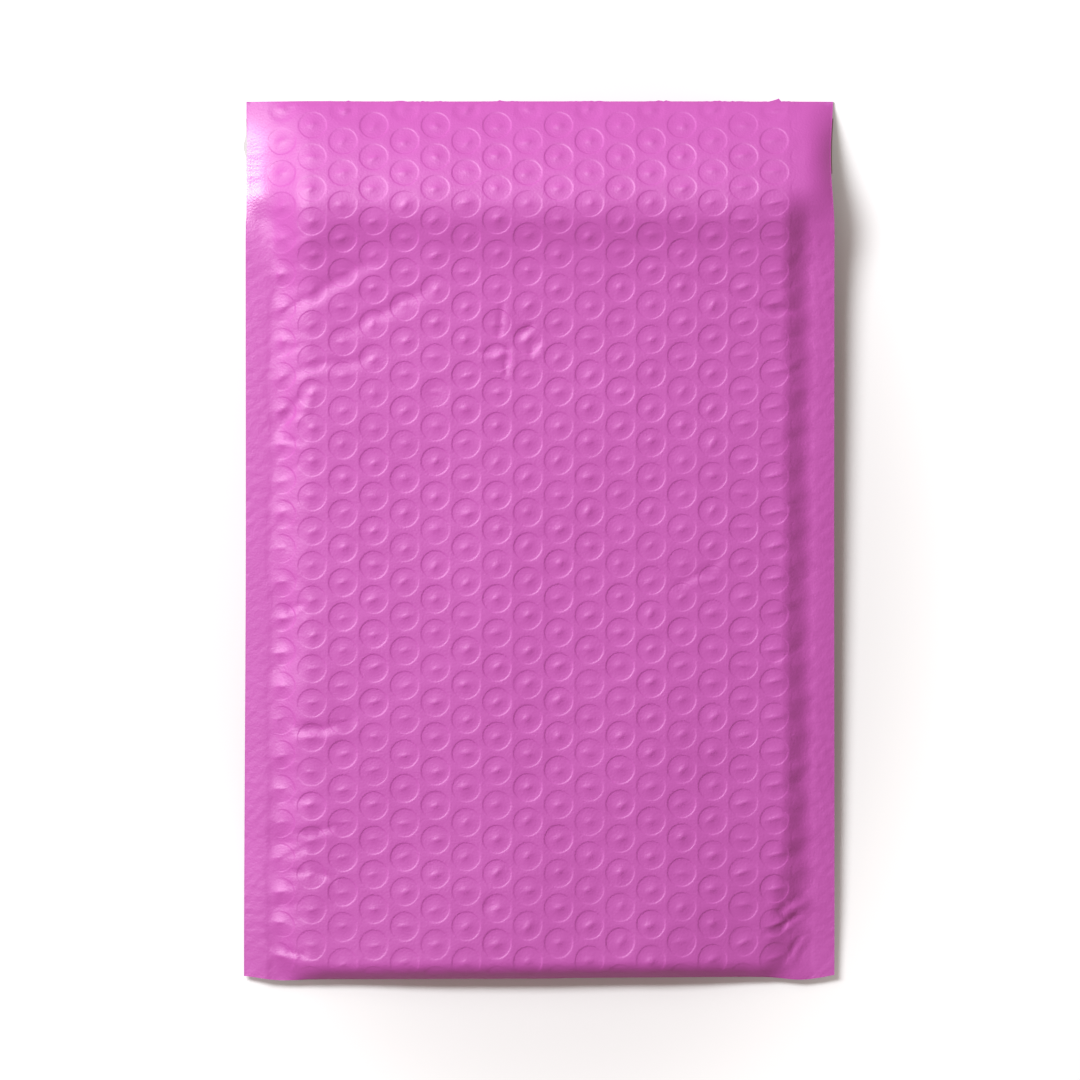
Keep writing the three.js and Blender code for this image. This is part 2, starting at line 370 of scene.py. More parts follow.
def flapRoll(u, s):
    # the hump along the flap times the square of the distance into the edge strip
    sides = zip(mailer["rollLeft"], mailer["rollRight"])
    drop, run = (np.where(u < 0, left, right) for left, right in sides)
    return drop * flapHump(u, s) * np.clip((np.abs(u) - halfWidth + run) / run, 0, 1) ** 2


def cornerTuck(u, s):
    # a bell beside each end of the fold, drawn back again at the corners
    tuck, back = (sided(u, key) for key in ("tuck", "tuckRound"))
    run = mailer["tuckRoundRun"]
    back = back * ease((np.abs(u) - mailer["tuckRoundFrom"]) / run) * bell(s, run)
    across, along = mailer["tuckSize"]
    return tuck * bell(np.abs(u) - mailer["tuckPlace"], across) * bell(s, along) - back


def foldPush(u, s):
    # a bell along the film from the fold, turning over from the left amount to the right one
    left, right = mailer["foldPush"]
    turned = ease((u + mailer["pushTurn"]) / (2 * mailer["pushTurn"]))
    return (left + (right - left) * turned) * bell(s, mailer["pushRun"])


def sideFlare(u, s):
    # outward shift of the sides, fading out along the film
    reach = sided(u, "flare") * np.sign(u)
    outer = ease((np.abs(u) - mailer["flareFrom"]) / mailer["flareEase"])
    return reach * outer * (1 - ease(s / mailer["flareRun"]))


def cornerPinch(u, s):
    # share of its height that the mailer keeps: less towards the ends of the fold
    pinch, run = (sided(u, key) for key in ("pinch", "pinchRun"))
    outer = ease((np.abs(u) - mailer["pinchFrom"]) / mailer["pinchEase"])
    return 1 - pinch * outer * (1 - ease(s / run))


def sheetPlace(u, s, depth):
    # a point of the front wall, depth mm inside the film: padded and welded lines mixed by the shoulder's
    # share, then pinched, rolled, lifted to the crest and dipped; with the direction of its relief
    y, z, ny, nz = follow(frontPath, s)
    share = shoulderShare(u, s)
    sealY, sealZ = sealPlace(u, s, y, z, ny, nz)
    y = y - foldPush(u, s) - ny * depth
    z = z - domeDrop(u, s) - nz * depth
    sealZ = sealZ - np.minimum(depth, mailer["weld"])
    rolled = flapRoll(u, s)
    x = u + sideFlare(u, s) - np.sign(u) * mailer["rollDraw"] * rolled
    y = sealY + (y - sealY) * share - cornerTuck(u, s)
    z = (sealZ + (z - sealZ) * share) * cornerPinch(u, s) - rolled + crestLift(u, s) - leftDip(u, s)
    return x, y, z, ny * share, np.sqrt(1 - (ny * share) ** 2)


def latticeDrift(u, t):
    # how far the rows have slid up the film: a rise and a slant, fading out at the fold and over the flap
    before, run = bubbles["driftFade"]
    share = ease(t / bubbles["driftRun"]) * (1 - bubbles["driftFlap"] * ease((t - mouthS + before) / run))
    share = share * ease((endS - t) / bubbles["driftEnd"])
    return share * (bubbles["rise"] + bubbles["slant"] * u)


def bubblePlace(u, s):
    # the bubble that a point belongs to, and the point's place from its middle
    s = s - latticeDrift(u, s - latticeDrift(u, s))
    column = np.clip(np.floor((u - latticeLeft) / bubbles["columnPitch"]), 0, bubbles["columns"] - 1)
    stagger = 0.5 * (column % 2)
    row = np.floor((s - bubbles["start"]) / bubbles["rowPitch"] + stagger)
    du = u - bubbles["firstColumn"] - column * bubbles["columnPitch"]
    ds = s - bubbles["start"] - (row + 0.5 - stagger) * bubbles["rowPitch"]
    return column.astype(int), row.astype(int), du, ds


latticeStep = bubbles["rowPitch"] / bubbles["steps"]
latticeRows = 2 * int((endS - bubbles["start"]) / (2 * latticeStep))
latticeEnd = bubbles["start"] + latticeStep * (latticeRows - 1)


def bubbleShare(u, s, edges):
    # full over the padding, fading at the seals, at the fold's outermost line and at the flap's end
    further = bubbles["edgeFlap"] * (u < 0) * ease((s - mouthS) / mailer["flapEase"])
    edge = np.where(u < 0, *bubbles[edges]) + further
    start, run = bubbles["foldFade"]
    share = ease((edge - np.abs(u)) / bubbles["fades"][edges])
    return share * ease((s - start) / run) * ease((endS - s) / bubbles["endFade"])


# each dish's own nub and depth, by column and row
tableShape = (bubbles["columns"], nubs["rows"])
tableColumn, tableRow = np.indices(tableShape)
rightFrom, rightRun = nubs["rightColumns"]
leftEnd, leftRun = nubs["leftColumns"]
lowEnd, lowRun = nubs["leftRows"]
rightShare = ease((tableColumn - rightFrom) / rightRun)
lowerLeft = ease((leftEnd - tableColumn) / leftRun) * ease((lowEnd - tableRow) / lowRun)
slimShare = np.maximum(lowerLeft, rightShare)
nubSize = draws.uniform(*nubs["sizes"], tableShape) * (1 + nubs["rightGrow"] * rightShare)
nubAngle = np.radians(nubs["turn"] + draws.normal(0, nubs["turnSpread"], tableShape))
nubAngle = nubAngle * (1 - nubs["calm"] * slimShare)
nubShift = draws.normal(0, nubs["shift"], tableShape + (2,))
nubShift = np.clip(nubShift, -nubs["shiftMost"], nubs["shiftMost"])
dishSize = draws.uniform(*bubbles["dishSizes"], tableShape)
nubLong = draws.uniform(*nubs["lengths"], tableShape)
nubLong = nubs["length"] * (nubLong * (1 - rightShare) + nubs["rightLength"] * rightShare)
nubWide = nubs["width"] * draws.uniform(*nubs["widths"], tableShape) * (1 - nubs["slim"] * slimShare)


def bubbleRelief(u, s):
    # a dish with a steep rim and a bowed floor, an oval bell in its middle, and a fine ridge between columns
    column, row, du, ds = bubblePlace(u, s)
    pick = (column, np.clip(row, 0, tableShape[1] - 1))
    inner, rim = bubbles["rings"][0], bubbles["rings"][-1]
    radius = np.hypot(du, ds)
    middle = bubbles["start"] + (row + 0.5 - 0.5 * (column % 2)) * bubbles["rowPitch"]
    cut = middle + bubbles["rowPitch"] / 2 >= latticeEnd  # the row that the flap's end cuts
    rimWidth = np.where(cut, bubbles["cutRim"], rim - inner)
    dish = bubbles["depth"] * (1 - ease((radius - rim) / rimWidth + 1))
    dish = dishSize[pick] * (dish + bubbles["bowl"] * np.clip(1 - (radius / rim) ** 2, 0, 1))
    turn = nubAngle[pick]
    du, ds = du - nubShift[pick][..., 0], ds - nubShift[pick][..., 1]
    long = (du * np.cos(turn) + ds * np.sin(turn)) / nubLong[pick]
    wide = (ds * np.cos(turn) - du * np.sin(turn)) / nubWide[pick]
    nub = nubs["height"] * nubWide[pick] * nubSize[pick] * np.exp(-(long**2) - wide**2)
    edge = (u - latticeLeft) / bubbles["columnPitch"]
    seam = bubbles["seam"] * bell((edge - np.round(edge)) * bubbles["columnPitch"], bubbles["seamWidth"])
    seam = seam * ease(edge * bubbles["seamStart"])
    within = (u > latticeLeft) & (u < latticeRight)
    relief = (seam - dish) * bubbleShare(u, s, "edges") + nub * bubbleShare(u, s, "nubEdges")
    return np.where(within, relief, 0)


# waves in the film by length and height in mm: slow and quick ones, the seals' ripple, the liner's cockle
waves = dict(slow=(60.0, 0.15), quick=(8.0, 0.015), seal=(3.0, 0.018), peel=(14.0, 0.05))
waveDraw = dict(count=24, lengths=(0.7, 1.6))


def drawWaves(length):
    # wave numbers across and along, and phases, of waves about length mm long that run any way by chance
    count = waveDraw["count"]
    turn = np.radians(90 + draws.uniform(-180, 180, count))
    size = 2 * np.pi / (length * draws.uniform(*waveDraw["lengths"], count))
    return np.stack([size * np.cos(turn), size * np.sin(turn), draws.uniform(0, 2 * np.pi, count)], -1)


drawnWaves = {kind: drawWaves(form[0]) for kind, form in waves.items()}


def ripple(u, s, kind):
    # sum of plane waves, scaled to their height
    drawn = drawnWaves[kind]
    total = sum(np.sin(across * u + along * s + phase) for across, along, phase in drawn)
    return waves[kind][1] * (total * np.sqrt(2 / len(drawn)))


creaseForm = dict(fade=0.6, lipPlace=1.8, lipWidth=1.2)  # fade's power, and the lip in widths of the groove


def crease(x, y, points, depth, width, lip):
    # groove along a chain of straight runs: a bell of the distance to it, fading at both ends,
    # with a raised lip on the right of its run
    points = np.array(points)
    runs = np.diff(points, axis=0)
    lengths = np.hypot(runs[:, 0], runs[:, 1])
    starts = np.concatenate([[0], np.cumsum(lengths)])
    nearest, side, share = np.full(x.shape, np.inf), np.zeros(x.shape), np.zeros(x.shape)
    for point, run, length, start in zip(points, runs, lengths, starts):
        t = np.clip(((x - point[0]) * run[0] + (y - point[1]) * run[1]) / length**2, 0, 1)
        dx, dy = x - point[0] - t * run[0], y - point[1] - t * run[1]
        distance = np.hypot(dx, dy)
        closer = distance < nearest
        nearest = np.where(closer, distance, nearest)
        side = np.where(closer, np.sign(run[1] * dx - run[0] * dy) * distance, side)
        share = np.where(closer, (start + t * length) / starts[-1], share)
    fade = np.sin(np.pi * share) ** creaseForm["fade"]
    raised = lip * bell(side - creaseForm["lipPlace"] * width, creaseForm["lipWidth"] * width)
    return depth * fade * (raised - bell(nearest, width))


# creases in the front: points by x and y from their lower left ends, depth and width in mm, share of the lip
creases = [
    ([(-81, 199), (-73, 206), (-65, 210.6), (-58, 215.5), (-50, 219)], 0.5, 2.4, 0.35),
    ([(-63, 195.9), (-56.6, 198.6), (-49, 202.3), (-35, 210), (-30, 214)], 0.4, 2.2, 0.3),
    ([(-80, 179), (-74.7, 184.2), (-69.8, 186.7), (-56, 187.9), (-49, 191)], 0.42, 1.9, 0.3),
    ([(-81, 166), (-76.8, 172), (-73.5, 176.3), (-69, 182.5)], 0.5, 1.8, 0.5),
    ([(-12.5, 195), (-12, 200), (-11.6, 206)], 0.35, 1.1, 0.4),
    ([(-10.6, 182.5), (-10, 187), (-9.8, 192)], 0.35, 1.0, 0.4),
    ([(-19, 190.5), (-14, 191.2), (-8.5, 192.4)], 0.3, 1.1, 0.4),
    ([(-7.6, 195), (-5, 197), (-1.6, 199.6)], 0.35, 1.2, 0.4),
    ([(-3.4, 189), (-2, 191.5), (0, 194.5)], 0.3, 1.1, 0.4),
    ([(45, 214), (61, 207), (72, 202.3), (80, 199)], 0.3, 1.5, -0.3),
    ([(66, 204.5), (72, 204), (80, 203)], 0.35, 1.4, 0.3),
    ([(38, 118), (48, 122.5), (57, 128.5)], 0.25, 1.3, 0.5),
    ([(71, 18), (75, 21.5), (82, 26)], 0.35, 1.3, 0.7),
    ([(68, 13), (74, 15), (80, 19)], 0.3, 1.1, 0.7),
    ([(75, 3), (77, 7), (80.5, 12)], 0.3, 1.1, 0.7),
    ([(-83, 8), (-77, 7), (-70, 6.5)], 0.35, 1.1, 0.7),
    ([(-80, 77.7), (-73.5, 76.2), (-65.8, 75.6), (-56, 78.8)], 0.42, 1.6, 0.5),
    ([(-81, 112.5), (-76, 112.8), (-71, 114)], 0.35, 1.2, 0.3),
    ([(-76, 43.5), (-68, 44.5), (-59, 46.5)], 0.35, 1.3, 0.3),
    ([(-77, 31.5), (-70, 32), (-62, 30)], 0.35, 1.3, 0.3),
    ([(-91, 251.6), (-88, 251.4), (-84, 251.8)], 0.04, 0.9, 0.6),
    ([(-91, 245), (-88, 244.7), (-84, 245.2)], 0.04, 0.9, 0.6),
]

# bubbles that have burst and sunk in, by x, y, depth and width in mm
dents = [(-32.3, 178.8, 0.45, 2.6), (-15.3, 21.7, 0.35, 1.7)]

# pillows where the outermost bubbles push out a shoulder, left and right
pillows = [
    dict(height=0.14, place=-78.5, width=3.5, stagger=0.0, low=1.2),
    dict(height=0.2, place=79.0, width=3.0, stagger=0.5, low=0.3),
]
pillowLow = dict(start=20.0, run=80.0)  # below this they are higher, by the share low
pillowEnd = 10.0  # run before the mouth over which they are lost

# short puckers where the padding is gathered into the seals, with what differs left and right
puckers = dict(
    length=(5.0, 13.0),
    depth=(0.06, 0.2),
    width=(0.9, 1.6),
    ends=(8.0, 6.0),  # free of puckers at the fold and at the mouth
    inset=1.0,  # from the foot of the shoulder
    jitter=1.2,
    turnSpread=20.0,
    lip=0.5,
    sides=[
        dict(side=-1, spacing=6.5, turn=12.0, share=1.0),
        dict(side=1, spacing=5.2575, turn=0.0, share=0.8),
    ],
)


def drawPuckers():
    # one crease at each step along both shoulders, from the seal inwards, of a length and lean set by chance
    found = []
    first, last = puckers["ends"]
    for row, shoulderFoot in zip(puckers["sides"], mailer["shoulderFoot"]):
        side, foot = row["side"], shoulderFoot - puckers["inset"]
        for place in np.arange(first, mailer["pouch"] - last, row["spacing"]):
            reach = draws.uniform(*puckers["length"])
            turn = np.radians(draws.normal(row["turn"], puckers["turnSpread"]))
            startY = place + draws.uniform(-puckers["jitter"], puckers["jitter"])
            start = (side * foot, startY)
            end = (side * (foot - reach), startY - side * reach * np.tan(turn))
            depth = row["share"] * draws.uniform(*puckers["depth"])
            width = draws.uniform(*puckers["width"])
            found.append((sorted([start, end]), depth, width, puckers["lip"]))
    return found


allCreases = creases + drawPuckers()

# the weld: the groove at its inner edge, where it ends before the mouth, and how far in the ripple reaches
weldForm = dict(groove=0.06, place=0.5, width=0.9, end=6.0, endRun=10.0, rippleEase=3.0)
deepest = dict(weld=0.15, padding=1.5)  # a groove's limit in the weld, and what padding adds to it


def frontRelief(u, s):
    # bubbles, slow and quick waves, creases, dents, pillows, the seals' ripple and the groove at the weld's
    # inner edge, added up, with grooves no deeper than the film allows
    x, y = u, follow(frontPath, s)[0]
    padded = shoulderShare(u, s)
    lift = bubbleRelief(u, s) + padded * (ripple(u, s, "slow") + ripple(u, s, "quick"))
    for fold in allCreases:
        lift = lift + crease(x, y, *fold)
    for dentX, dentY, depth, width in dents:
        lift = lift - depth * bell(np.hypot(x - dentX, y - dentY), width)
    cells = (s - latticeDrift(u, s) - bubbles["start"]) / bubbles["rowPitch"]
    lower = 1 - ease((s - pillowLow["start"]) / pillowLow["run"])
    ended = 1 - ease((s - mouthS + pillowEnd) / pillowEnd)
    for row in pillows:
        turn = 2 * np.pi * (cells + row["stagger"] - 0.5)
        height = row["height"] * (1 + row["low"] * lower)
        lift = lift + height * np.cos(turn) * bell(u - row["place"], row["width"]) * ended
    inward = footLine(u, s) - np.abs(u)
    welded = 1 - ease((s - mouthS + weldForm["end"]) / weldForm["endRun"])
    lift = lift + welded * (1 - ease(inward / weldForm["rippleEase"])) * ripple(u, s, "seal")
    lift = lift - welded * weldForm["groove"] * bell(inward + weldForm["place"], weldForm["width"])
    return np.maximum(lift, -deepest["weld"] - deepest["padding"] * padded)


def frontPoint(u, s):
    # the front wall's outside with its relief, moved along the wall's own normal
    x, y, z, ny, nz = sheetPlace(u, s, 0.0)
    lift = frontRelief(u, s)
    lowest = mailer["weld"] + mailer["tableGap"][0]
    return np.stack([x, y + ny * lift, np.maximum(z + nz * lift, lowest)], -1)


def tautShare(u, s):
    # 1 where the film is drawn smooth over the flap's rolled left edge
    return flapHump(u, s) * ease((-u - halfWidth + mailer["tautEdge"]) / mailer["tautEase"])


def frontNormals(u, s, step=0.05):
    # cross product of the differences across and along, so that the rims shade as crisply as they are shaped
    across = frontPoint(u + step, s) - frontPoint(u - step, s)
    along = frontPoint(u, s + step) - frontPoint(u, s - step)
    normals = np.cross(across, along)
    return normals / np.linalg.norm(normals, axis=-1, keepdims=True)


def ringedGrid(columns, rows, steps, rings, ovals, strip, lead):
    # a plain grid pulled onto rings round each bubble: in a bubble's square the larger coordinate numbers
    # the ring, and the smaller one, as a share of the larger, gives the part of an eighth turn along it;
    # the first rings are ovals, stretched and turned as the bubble's nub
    half = steps // 2
    u, s = np.meshgrid(columns, rows)
    j, i = np.indices(u.shape)
    column = (i - strip) // steps
    odd = column % 2
    cell = (j - lead + half * odd) // steps
    a = ((i - strip) % steps) / half - 1
    b = ((j - lead + half * odd) % steps) / half - 1
    middleU = bubbles["firstColumn"] + column * bubbles["columnPitch"]
    middleS = bubbles["start"] + (cell + 0.5 - 0.5 * odd) * bubbles["rowPitch"]
    across = np.abs(a) >= np.abs(b)
    larger, smaller = np.where(across, a, b), np.where(across, b, a)
    turn = np.pi / 4 * np.divide(smaller, larger, out=np.zeros_like(a), where=larger != 0)
    ring = np.rint(np.abs(larger) * half).astype(int)
    radius = np.array([*ovals, *rings, 0])[ring] * np.sign(larger)
    ahead, aside = radius * np.cos(turn), radius * np.sin(turn)
    du, ds = np.where(across, ahead, aside), np.where(across, aside, ahead)
    pick = (np.clip(column, 0, tableShape[0] - 1), np.clip(cell, 0, tableShape[1] - 1))
    lean = nubAngle[pick]
    long = (du * np.cos(lean) + ds * np.sin(lean)) * nubLong[pick]
    wide = (ds * np.cos(lean) - du * np.sin(lean)) * nubWide[pick]
    oval = ring < len(ovals)
    du = np.where(oval, long * np.cos(lean) - wide * np.sin(lean) + nubShift[pick][..., 0], du)
    ds = np.where(oval, long * np.sin(lean) + wide * np.cos(lean) + nubShift[pick][..., 1], ds)
    pulled = (ring < half) & (column >= 0) & (column < bubbles["columns"]) & (j >= lead)
    pulled &= middleS + bubbles["rowPitch"] / 2 < min(rows[-2], latticeEnd)
    u, s = np.where(pulled, middleU + du, u), np.where(pulled, middleS + ds, s)
    return u, s + latticeDrift(u, s)


def quads(ids):
    # one face for each square of a grid of vertex numbers, wound from its columns to its rows
    return np.stack([ids[:-1, :-1], ids[:-1, 1:], ids[1:, 1:], ids[1:, :-1]], axis=-1).reshape(-1, 4)


def triangles(faces):
    # squares as pairs of triangles, without those that two shared corners have closed up
    split = np.concatenate([faces[:, [0, 1, 2]], faces[:, [0, 2, 3]]])
    a, b, c = split.T
    return split[(a != b) & (b != c) & (c != a)]


def rimLoop(grid):
    # the numbers round a grid's edge, counter-clockwise
    return np.concatenate([grid[0, :-1], grid[:-1, -1], grid[-1, :0:-1], grid[:0:-1, 0]])


def zipRims(fine, coarse):
    # three triangles from each step of the coarse rim to the two steps of the fine rim beside it
    f0, f1, f2 = fine[::2], fine[1::2], np.roll(fine, -2)[::2]
    c0, c1 = coarse, np.roll(coarse, -1)
    threes = [np.stack(three, -1) for three in ((f1, f0, c0), (f2, f1, c1), (f1, c0, c1))]
    return np.stack(threes, axis=1).reshape(-1, 3)


def backRise(u, y, s):
    # how far the back panel is above its middle: eased from the flat belly to the wall under the shoulder
    full = frontTop(y) - domeDrop(u, s) - 2 * mailer["wall"] - mailer["pocketGap"] - backLow(y)
    return full * ease((np.abs(u) - mailer["bellyEdge"]) / mailer["bellyRun"])


def backPlace(u, s):
    # the back panel: flat in the middle, rising to the shoulders, then up to the underside of the weld
    y, z, ny, nz = follow(backPath, s)
    share = shoulderShare(u, np.minimum(s, mouthS))
    sealY, sealZ = sealPlace(u, np.minimum(s, mouthS), *follow(frontPath, s))
    z = z + backRise(u, y, s) * ease(y / mailer["foldRun"])
    y = y - foldPush(u, s)
    sealZ = sealZ - mailer["weld"]
    column, row, du, ds = bubblePlace(u, s)
    inner, rim = bubbles["backRings"][-2:]
    dish = bubbles["depth"] * (1 - ease((np.hypot(du, ds) - inner) / (rim - inner)))
    within = (u > latticeLeft) & (u < latticeRight)
    z = sealZ + (z - sealZ) * share + np.where(within, dish, 0) * bubbleShare(u, s, "edges")
    y = sealY + (y - sealY) * share - cornerTuck(u, s)
    return u + sideFlare(u, s), y, z * cornerPinch(u, s) - leftDip(u, s)


def pocketPlace(u, lipY):
    # the pocket's wall: in along the back to the inner fold, round it, and out along the front, with its gap
    # closing to the middle of the weld at both sides
    inward = np.linspace(lipY, mailer["foldRun"], mailer["pocketRows"])
    foldSteps = np.array(mailer["pocketRound"])
    foldYs = mailer["pocketTip"] + mailer["pocketLean"] * np.abs(foldSteps)
    y = np.concatenate([inward, foldYs, inward[::-1]])
    upper = np.concatenate([-np.ones(len(inward)), foldSteps, np.ones(len(inward))])
    u, y = np.meshgrid(u, y)
    upper = upper[:, None]
    share = ease((np.where(u < 0, -u.min(), u.max()) - np.abs(u)) / mailer["pocketEase"])
    ramp = cornerRamp(y)
    low = backLow(y) + backRise(u, y, y) + mailer["wall"]
    high = frontTop(y) - domeDrop(u, y) - mailer["wall"]
    weldZ = mailer["cornerLift"] * (1 - ramp) + ramp * high + mailer["weld"] / 2
    low, high = weldZ + (low - weldZ) * share, weldZ + (high - weldZ) * share
    s = y + mouthS - mailer["pouch"]
    z = ((low + high) / 2 + upper * (high - low) / 2) * cornerPinch(u, y)
    return u, y, z + crestLift(u, s) * (upper > 0) * share - leftDip(u, s)


def addPiece(name, data):
    # an object in the scene
    piece = bpy.data.objects.new(name, data)
    bpy.context.scene.collection.objects.link(piece)
    return piece


sharpAngle = np.radians(60)  # edges that turn further stay sharp


def meshPiece(name, points, faces, materials, slots, uv=None, normals=None, taut=None):
    # points in mm, measured from the fold, become a mesh in metres with one material for each group of faces;
    # normals are given for the first group only
    mesh = bpy.data.meshes.new(name)
    points = np.asarray(points) * mm
    points[:, 1] += foldY * mm
    mesh.from_pydata(points, [], [face for group in faces for face in group.tolist()])
    mesh.polygons.foreach_set("material_index", np.repeat(slots, [len(group) for group in faces]))
    mesh.polygons.foreach_set("use_smooth", np.ones(len(mesh.polygons), bool))
    corners = np.zeros(len(mesh.loops), int)
    mesh.loops.foreach_get("vertex_index", corners)
    if uv is not None:
        mesh.uv_layers.new(name="film").data.foreach_set("uv", uv[corners].ravel())
    if taut is not None:
        mesh.attributes.new("taut", "FLOAT", "POINT").data.foreach_set("value", taut)
    for material in materials:
        mesh.materials.append(material)
    mesh.update()
    mesh.set_sharp_from_angle(angle=sharpAngle)
    if normals is not None:
        split = np.zeros((len(corners), 3))
        split[: faces[0].size] = normals[corners[: faces[0].size]]
        mesh.normals_split_custom_set(split.tolist())
    return addPiece(name, mesh)


# the flap's cut end is frayed in places, by x, half length and reach in mm
frays = [
    (-60, 3, 0.4),
    (-43, 6, 0.4),
    (-33, 3, 0.5),
    (-12, 4, 0.4),
    (14, 5, 0.4),
    (38, 4, 0.4),
    (56, 6, 0.4),
    (73, 3, 1.0),
]
filmMap = 0.01  # units of the film's map for each mm


def envelopeMesh(film, lining):
    # front and flap on a fine grid, all below on one of half as many steps, and a rim zipped between them
    b = bubbles
    lattice = b["start"] + latticeStep * np.arange(latticeRows)
    rows = np.concatenate([[0, b["start"] / 2], lattice, [endS]])
    columns = np.concatenate([
        np.linspace(-halfWidth, latticeLeft, b["leftStrip"], endpoint=False),
        np.linspace(latticeLeft, latticeRight, b["columns"] * b["steps"], endpoint=False),
        np.linspace(latticeRight, halfWidth, b["rightStrip"] + 1),
    ])
    u, s = ringedGrid(columns, rows, b["steps"], b["rings"], b["ovals"], b["leftStrip"], 2)
    front = frontPoint(u, s)
    frayed = sum(reach * bell(u[-1] - place, half) for place, half, reach in frays)
    front[-1, :, 1] += frayed * draws.uniform(0, 1, len(columns)) ** 2

    coarse = columns[::2]
    mouthRow = 2 * int(np.searchsorted(rows, mouthS) // 2)
    backRows = rows[: mouthRow + 1 : 2].copy()
    backRows[0] = b["start"] / 4
    backU, backS = ringedGrid(coarse, backRows, b["steps"] // 2, b["backRings"], (), b["leftStrip"] // 2, 1)
    back = np.stack(backPlace(backU, backS), -1)

    flapU, flapS = np.meshgrid(coarse, rows[mouthRow::2])
    flapS = flapS + latticeDrift(flapU, flapS)
    flapX, flapY, flapZ, _, _ = sheetPlace(flapU, flapS, mailer["wall"])
    flap = np.stack([flapX, flapY, np.maximum(flapZ, mailer["tableGap"][1])], -1)

    inside = np.flatnonzero(np.abs(coarse) < mailer["pocketEdge"])
    first, last = inside[0], inside[-1]
    pocket = np.stack(pocketPlace(coarse[first : last + 1], back[-1, len(columns) // 4, 1]), -1)

    blocks = [front, back, pocket, flap]
    ends = np.cumsum([block[..., 0].size for block in blocks])
    numbers = np.split(np.arange(ends[-1]), ends[:-1])
    ids = [part.reshape(block.shape[:2]) for part, block in zip(numbers, blocks)]
    frontIds, backIds, pocketIds, flapIds = ids
    flapIds[0, : first + 1], flapIds[0, last:] = backIds[-1, : first + 1], backIds[-1, last:]
    half = len(pocketIds) // 2
    sides = [0, -1]
    pocketIds[0, sides] = backIds[-1, [first, last]]
    pocketIds[half + 1 :, sides] = pocketIds[:half, sides][::-1]
    flapIds[0, first : last + 1] = pocketIds[-1]

    lower = np.concatenate([backIds, flapIds[1:]])
    lip = np.stack([backIds[-1, first : last + 1], pocketIds[0]])
    rim = zipRims(rimLoop(frontIds), rimLoop(lower))
    faces = [
        quads(frontIds),
        rim,
        quads(backIds.T),
        triangles(quads(lip.T)),
        quads(pocketIds.T),
        quads(flapIds.T),
    ]
    points = np.concatenate([block.reshape(-1, 3) for block in blocks])
    flat = [(u, s), (backU, -backS), (pocket[..., 0], pocket[..., 1]), (flapU, flapS)]
    uv = np.concatenate([np.stack(pair, -1).reshape(-1, 2) for pair in flat]) * filmMap
    used = np.unique(np.concatenate([group.ravel() for group in faces]))
    number = np.zeros(len(points), int)
    number[used] = np.arange(len(used))
    faces = [number[group] for group in faces]
    normals = np.zeros_like(points)
    normals[: u.size] = frontNormals(u, s).reshape(-1, 3)
    taut = np.zeros(len(points))
    taut[: u.size] = tautShare(u, s).ravel()
    slots = [0, 0, 0, 1, 1, 1]
    looks = [uv[used], normals[used], taut[used]]
    return meshPiece("padded_envelope", points[used], faces, [film, lining], slots, *looks)


# closing strips under the flap, in mm: setback from the flap's end, width, thickness, gap to the lining,
# reach left and right, the tongue at the left end, and the share of the cockle that the strip has
adhesive = dict(
    setback=8.5, width=12.0, thickness=0.35, gap=0.02, reach=(84.0, 84.0), rows=8, columns=120,
    tongue=0.0, tongueWidth=2.5, cockle=0.0,
)
peelStrip = dict(
    setback=5.5, width=18.0, thickness=0.15, gap=0.42, reach=(90.2, 90.4), rows=12, columns=140,
    tongue=0.9, tongueWidth=2.5, cockle=1.0,
)


def stripMesh(name, size, material):
    # a thin strip that follows the flap's underside: two grids a thickness apart, closed round their edge
    rows = endS - size["setback"] - size["width"] * np.linspace(1, 0, size["rows"])
    u, s = np.meshgrid(np.linspace(-size["reach"][0], size["reach"][1], size["columns"]), rows)
    inner = np.clip(u, -halfWidth, halfWidth)
    x, y, z, ny, nz = sheetPlace(inner, s, mailer["wall"])
    x = x + (u - inner) - size["tongue"] * bell(s - rows.mean(), size["tongueWidth"]) * (u == u.min())
    wave = size["cockle"] * ripple(u, s, "peel")
    sheets = []
    for depth in (size["gap"] + wave, size["gap"] + wave + size["thickness"]):
        sheets.append(np.stack([x, y - ny * depth, np.maximum(z - nz * depth, mailer["tableGap"][2])], -1))
    top = np.arange(u.size).reshape(u.shape)
    bottom = top + u.size
    edge, under = rimLoop(top), rimLoop(bottom)
    wall = np.stack([np.roll(edge, -1), edge, under, np.roll(under, -1)], -1)
    points = np.concatenate([sheet.reshape(-1, 3) for sheet in sheets])
    return meshPiece(name, points, [quads(top), quads(bottom.T), wall], [material], [0, 0, 0])


noiseDetail = dict(Mottle=3.0, Grain=2.0)
mottleStops = (0.35, 0.65)  # where the two colours stand in the mottle


def setValues(node, values):
    # plain values for inputs, by name or number
    for key, value in values.items():
        node.inputs[key].default_value = value


def addNode(tree, kind, values={}, **settings):
    # a shader node with its settings and the values of its inputs
    node = tree.nodes.new("ShaderNode" + kind)
    for key, value in settings.items():
        setattr(node, key, value)
    setValues(node, values)
    return node


def link(tree, *wires):
    # each wire goes from an output of one node to an input of another
    for source, output, target, place in wires:
        tree.links.new(source.outputs[output], target.inputs[place])


def newMaterial(name, values):
    # a material with its node tree, and its principled shader set to the values
    material = bpy.data.materials.new(name)
    material.use_nodes = True
    shader = material.node_tree.nodes["Principled BSDF"]
    setValues(shader, values)
    return material, material.node_tree, shader


